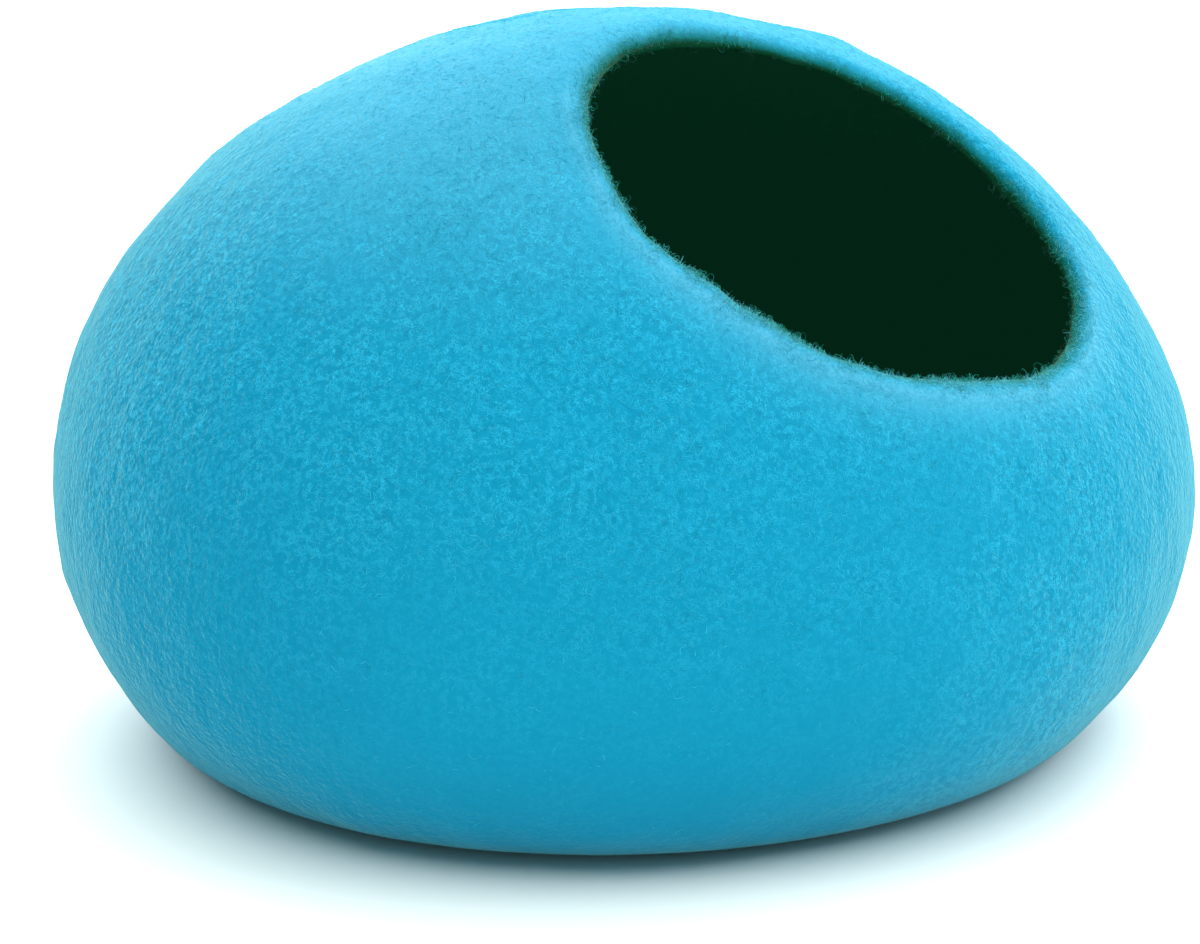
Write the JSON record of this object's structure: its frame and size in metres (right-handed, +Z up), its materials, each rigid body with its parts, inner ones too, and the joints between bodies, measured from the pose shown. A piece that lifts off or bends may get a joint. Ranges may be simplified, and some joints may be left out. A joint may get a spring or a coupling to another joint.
{
  "type": "felt cat cave",
  "caption": "Hollow pebble-shaped pet cave felted in one piece, with a flat foot and a slanted oval mouth with a rolled lip.",
  "frame": {"origin": "on the floor plane under the centre of the overall box", "axes": "+X along the pebble's long side, -Y towards the side that the mouth looks to, +Z up"},
  "size_m": [0.4465, 0.3699, 0.283],
  "materials": {
    "wool_felt": "matte wool felt with a fuzzy face, cyan blue outside and dark bottle green inside"
  },
  "bodies": {
    "root": {"felt_cave": "wool_felt"}
  },
  "joints": []
}
